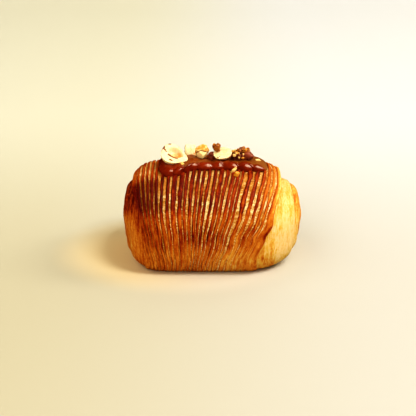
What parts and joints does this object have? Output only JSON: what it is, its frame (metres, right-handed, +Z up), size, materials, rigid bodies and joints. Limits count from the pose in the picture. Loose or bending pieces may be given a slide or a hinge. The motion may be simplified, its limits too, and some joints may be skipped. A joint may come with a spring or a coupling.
{
  "type": "filled croissant",
  "caption": "Short rolled croissant in a ribbed laminated wrap, its inner layers bulging at both ends, topped with a band of chocolate, hazelnut halves and praline crumbs.",
  "frame": {"origin": "middle of the roll's flat underside", "axes": "+Z up, +X along the roll to the end whose pale inner layers show most, -Y to the front"},
  "size_m": [0.1056, 0.077, 0.069],
  "materials": {
    "crust": null,
    "chocolate": "soft set milk chocolate, glossy",
    "pale_nut": "peeled hazelnut, waxy cream",
    "roasted_nut": "roasted hazelnut, golden with brown skin left on its ridge",
    "caramel": "hard caramel, glassy and uneven",
    "praline": "crushed caramelised nuts, mixed brown and gold"
  },
  "bodies": {
    "root": {"croissant": "crust", "chocolate_glaze": "chocolate", "hazelnut_half_large": "pale_nut", "hazelnut_half_small": "pale_nut", "hazelnut_piece_pale": "pale_nut", "hazelnut_piece_roasted": "roasted_nut", "caramel_crystals": "caramel", "praline_crumbs": "praline"}
  },
  "joints": []
}
